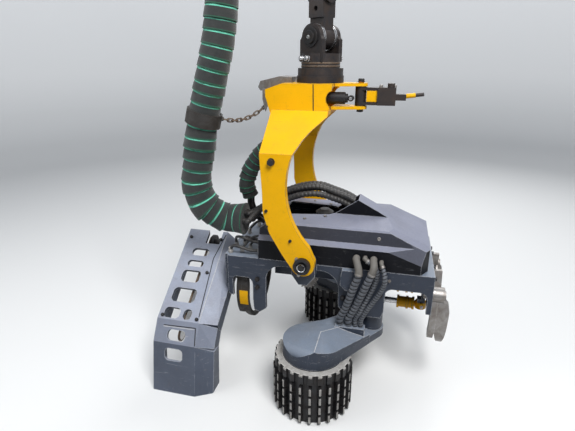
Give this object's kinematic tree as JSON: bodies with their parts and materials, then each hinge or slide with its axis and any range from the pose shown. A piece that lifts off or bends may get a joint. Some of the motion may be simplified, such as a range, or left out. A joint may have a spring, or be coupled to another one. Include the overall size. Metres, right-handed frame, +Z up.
{
  "type": "harvester head",
  "caption": "Felling and delimbing head on a yellow tilt frame, with feed rollers, knives, saw box, rotator link and its wrapped hoses.",
  "frame": {"origin": "on the floor below the middle of the head's bounding box, as it rests on its feed rollers and saw box", "axes": "+X along the stem from the saw to the front knives, +Y to the far side, +Z up"},
  "size_m": [1.5523, 1.2584, 2.112],
  "materials": {
    "yellow_paint": "semi-gloss yellow paint, dusty and scratched",
    "frame_paint": "matt blue-grey paint, worn on the edges",
    "hood_paint": "matt dark grey paint with dust",
    "saw_paint": "worn blue-grey paint with mud",
    "dark_steel": "dark oily steel",
    "bright_steel": "bright worn steel",
    "worn_steel": "worn grey steel",
    "black_rubber": "ribbed black rubber",
    "guarded_hose": "hoses in spiral plastic guards, grey with dirt",
    "sleeve_fabric": "dark wrap with bright green edges",
    "rotator_paint": "black paint, rust brown where worn",
    "chain_steel": "rusty steel"
  },
  "bodies": {
    "head_frame": {"main_frame": "frame_paint", "hood": "hood_paint", "valve_block": "dark_steel", "front_plate": "frame_paint", "rear_bracket": "frame_paint", "saw_box": "saw_paint", "saw_motor": "dark_steel", "tilt_pins": "dark_steel", "arm_pins": "dark_steel", "hood_hoses": "black_rubber", "top_knife": "worn_steel"},
    "measuring_arm": {"measuring_arm": "frame_paint"},
    "measuring_wheel": {"measuring_wheel": "worn_steel"},
    "saw_bar": {"saw_bar": "bright_steel", "saw_chain": "chain_steel"},
    "tilt_frame": {"tilt_frame": "yellow_paint", "bumper": "worn_steel", "fork": "yellow_paint", "rotator_base": "rotator_paint", "chain": "chain_steel", "hose_clamp": "chain_steel", "hose_sleeve": "sleeve_fabric", "hose_branch": "sleeve_fabric"},
    "guide_arm": {"guide_arm": "rotator_paint", "guide_rollers": "rotator_paint"},
    "rotator": {"rotator": "rotator_paint", "rotator_pin": "bright_steel"},
    "link": {"link": "rotator_paint", "brake_discs": "bright_steel"},
    "roller_arm_near": {"roller_arm_near": "frame_paint", "roller_motor_near": "dark_steel", "roller_hoses_near": "guarded_hose"},
    "feed_roller_near": {"feed_roller_near": "dark_steel"},
    "arm_cylinder_near": {"arm_cylinder_near": "yellow_paint"},
    "arm_rod_near": {"arm_rod_near": "bright_steel"},
    "front_knife_near": {"front_knife_near": "worn_steel"},
    "rear_knife_near": {"rear_knife_near": "worn_steel"},
    "roller_arm_far": {"roller_arm_far": "frame_paint", "roller_motor_far": "dark_steel", "roller_hoses_far": "guarded_hose"},
    "feed_roller_far": {"feed_roller_far": "dark_steel"},
    "arm_cylinder_far": {"arm_cylinder_far": "yellow_paint"},
    "arm_rod_far": {"arm_rod_far": "bright_steel"},
    "front_knife_far": {"front_knife_far": "worn_steel"},
    "rear_knife_far": {"rear_knife_far": "worn_steel"}
  },
  "joints": [
    {"name": "tilt", "type": "hinge", "parent": "head_frame", "child": "tilt_frame", "pos_m": [0.033, 0, 0.766], "axis": [0, 1, 0], "range_deg": [-15, 90], "deforming": ["hose_sleeve", "hose_branch"]},
    {"name": "rotator_turn", "type": "hinge", "parent": "tilt_frame", "child": "rotator", "pos_m": [0.04, 0, 1.7], "axis": [0, 0, 1], "continuous": true},
    {"name": "link_swing", "type": "hinge", "parent": "rotator", "child": "link", "pos_m": [0.04, 0, 1.855], "axis": [0.5299, 0.848, 0], "range_deg": [-40, 40]},
    {"name": "guide_arm_swing", "type": "hinge", "parent": "tilt_frame", "child": "guide_arm", "pos_m": [0.25, 0, 1.58], "axis": [0, 0, 1], "range_deg": [-35, 35]},
    {"name": "saw_swing", "type": "hinge", "parent": "head_frame", "child": "saw_bar", "pos_m": [-0.64, 0.04, 0.655], "axis": [1, 0, 0], "range_deg": [0, 100]},
    {"name": "measuring_arm_swing", "type": "hinge", "parent": "head_frame", "child": "measuring_arm", "pos_m": [-0.08, 0, 0.662], "axis": [0, 1, 0], "range_deg": [-25, 12]},
    {"name": "measuring_wheel_spin", "type": "hinge", "parent": "measuring_arm", "child": "measuring_wheel", "pos_m": [-0.008, 0, 0.506], "axis": [0, 1, 0], "continuous": true},
    {"name": "roller_arm_near_close", "type": "hinge", "parent": "head_frame", "child": "roller_arm_near", "pos_m": [0.38, -0.17, 0.38], "axis": [0, 0, -1], "range_deg": [-12, 35], "deforming": ["roller_hoses_near"]},
    {"name": "feed_roller_near_spin", "type": "hinge", "parent": "roller_arm_near", "child": "feed_roller_near", "pos_m": [0.11, -0.42, 0.15], "axis": [0, 0, 1], "continuous": true},
    {"name": "arm_cylinder_near_swing", "type": "hinge", "parent": "head_frame", "child": "arm_cylinder_near", "pos_m": [0.65, -0.095, 0.474], "axis": [0, 0, 1], "range_deg": [-3.5, 9.5]},
    {"name": "arm_rod_near_slide", "type": "slide", "parent": "arm_cylinder_near", "child": "arm_rod_near", "axis": [-0.9992, 0.04, 0], "range_m": [-0.046, 0.018]},
    {"name": "front_knife_near_open", "type": "hinge", "parent": "head_frame", "child": "front_knife_near", "pos_m": [0.69, -0.2, 0.6], "axis": [-1, 0, 0], "range_deg": [0, 60]},
    {"name": "rear_knife_near_open", "type": "hinge", "parent": "head_frame", "child": "rear_knife_near", "pos_m": [-0.374, -0.2, 0.6], "axis": [-1, 0, 0], "range_deg": [0, 40]},
    {"name": "roller_arm_far_close", "type": "hinge", "parent": "head_frame", "child": "roller_arm_far", "pos_m": [0.38, 0.17, 0.38], "axis": [0, 0, 1], "range_deg": [-12, 35], "deforming": ["roller_hoses_far"]},
    {"name": "feed_roller_far_spin", "type": "hinge", "parent": "roller_arm_far", "child": "feed_roller_far", "pos_m": [0.11, 0.42, 0.15], "axis": [0, 0, 1], "continuous": true},
    {"name": "arm_cylinder_far_swing", "type": "hinge", "parent": "head_frame", "child": "arm_cylinder_far", "pos_m": [0.65, 0.095, 0.474], "axis": [0, 0, -1], "range_deg": [-3.5, 9.5]},
    {"name": "arm_rod_far_slide", "type": "slide", "parent": "arm_cylinder_far", "child": "arm_rod_far", "axis": [-0.9992, -0.04, 0], "range_m": [-0.046, 0.018]},
    {"name": "front_knife_far_open", "type": "hinge", "parent": "head_frame", "child": "front_knife_far", "pos_m": [0.69, 0.2, 0.6], "axis": [1, 0, 0], "range_deg": [0, 60]},
    {"name": "rear_knife_far_open", "type": "hinge", "parent": "head_frame", "child": "rear_knife_far", "pos_m": [-0.374, 0.2, 0.6], "axis": [1, 0, 0], "range_deg": [0, 40]}
  ],
  "couplings": [
    {"joint": "arm_cylinder_near_swing", "follows": "roller_arm_near_close", "ratio": 0.26},
    {"joint": "arm_rod_near_slide", "follows": "roller_arm_near_close", "m_per_rad": -0.072},
    {"joint": "arm_cylinder_far_swing", "follows": "roller_arm_far_close", "ratio": 0.26},
    {"joint": "arm_rod_far_slide", "follows": "roller_arm_far_close", "m_per_rad": -0.072}
  ]
}
